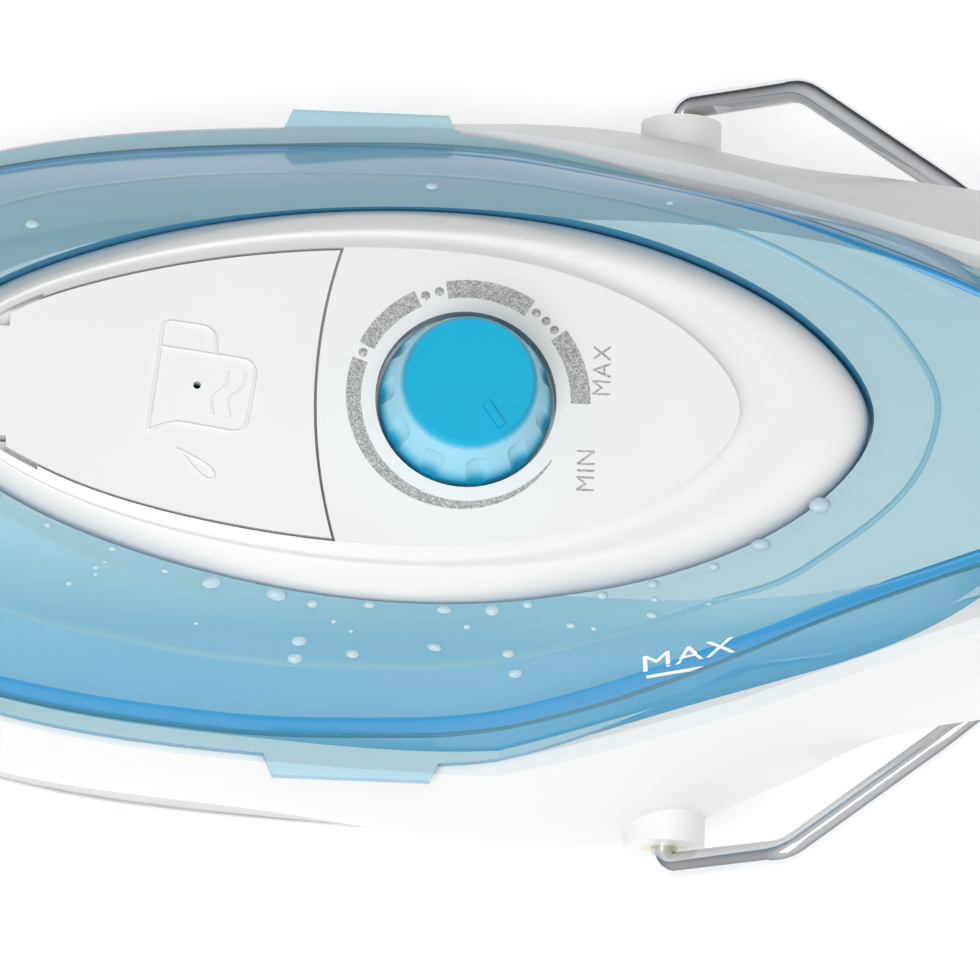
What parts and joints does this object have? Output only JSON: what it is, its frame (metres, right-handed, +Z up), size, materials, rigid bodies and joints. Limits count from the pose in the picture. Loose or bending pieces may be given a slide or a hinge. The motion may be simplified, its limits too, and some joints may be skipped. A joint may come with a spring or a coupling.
{
  "type": "steam iron",
  "caption": "Handheld steam iron with a lift-off tinted water tank, hinged filling door, temperature dial, in-line rear handle with steam trigger and a folding chrome wire rest.",
  "frame": {"origin": "on the sole's working face, straight under the axis of the temperature dial", "axes": "+X to the rear, along the handle; +Y across, to the right of a user who holds the handle and faces the nose; +Z up, out of the dial"},
  "size_m": [0.3238, 0.1276, 0.0879],
  "materials": {
    "sole_steel": "brushed stainless steel, polished edge",
    "cast_aluminium": "die cast, as cast",
    "element_steel": "plain steel",
    "white_plastic": "fine satin moulded plastic",
    "skirt_plastic": "heat resistant moulded plastic",
    "cream_nylon": "moulded nylon",
    "tank_blue": "clear tinted moulded plastic",
    "seal_rubber": "moulded silicone rubber",
    "dial_blue": "satin cyan plastic",
    "chrome_wire": "bright chrome plate",
    "shaft_steel": "turned steel",
    "feed_copper": "plain tube",
    "ceramic": "pressed ceramic",
    "lens_red": "clear red lens"
  },
  "bodies": {
    "housing": {"soleplate": "sole_steel", "heater_casting": "cast_aluminium", "heating_element": "element_steel", "steam_chamber_cover": "element_steel", "heat_shield_skirt": "skirt_plastic", "lower_housing": "white_plastic", "housing_deck": "skirt_plastic", "sole_screws": "element_steel", "valve_seat": "seal_rubber", "feed_tube": "feed_copper", "thermostat_base": "ceramic", "thermostat_bracket": "element_steel", "bimetal_strip": "element_steel", "thermal_fuse": "element_steel", "stand_bush_left": "cream_nylon", "stand_bush_right": "cream_nylon", "handle_upper_shell": "white_plastic", "handle_lower_shell": "white_plastic", "handle_screws": "element_steel", "pilot_lens": "lens_red", "pump_body": "cream_nylon", "water_tube": "seal_rubber", "terminal_block": "cream_nylon", "cord_gland": "seal_rubber", "trigger_spring": "element_steel"},
    "tank": {"water_tank": "tank_blue", "tank_floor": "tank_blue", "outlet_valve": "seal_rubber", "control_cover": "white_plastic", "fill_funnel": "cream_nylon", "door_hinge_pin": "element_steel"},
    "door": {"fill_door": "white_plastic", "door_seal": "seal_rubber"},
    "dial": {"temperature_dial": "dial_blue", "dial_shaft": "shaft_steel", "dial_clip": "element_steel"},
    "stand": {"wire_stand": "chrome_wire"},
    "trigger": {"steam_trigger": "dial_blue", "pump_plunger": "cream_nylon"}
  },
  "joints": [
    {"name": "tank_lift", "type": "slide", "parent": "housing", "child": "tank", "axis": [0, 0, 1], "range_m": [0, 0.06]},
    {"name": "fill_door_hinge", "type": "hinge", "parent": "tank", "child": "door", "pos_m": [-0.0736, 0, 0.065], "axis": [0, -1, 0], "range_deg": [0, 78]},
    {"name": "dial_turn", "type": "hinge", "parent": "tank", "child": "dial", "pos_m": [0, 0, 0.07], "axis": [0, 0, 1], "range_deg": [-305, 21]},
    {"name": "stand_fold", "type": "hinge", "parent": "housing", "child": "stand", "pos_m": [0.0352, 0, 0.0218], "axis": [0, 1, 0], "range_deg": [0, 138]},
    {"name": "trigger_press", "type": "slide", "parent": "housing", "child": "trigger", "axis": [0, 0, 1], "range_m": [0, 0.004], "stiffness_N_per_m": 600, "springref_m": -0.002, "deforming": ["trigger_spring"]}
  ]
}
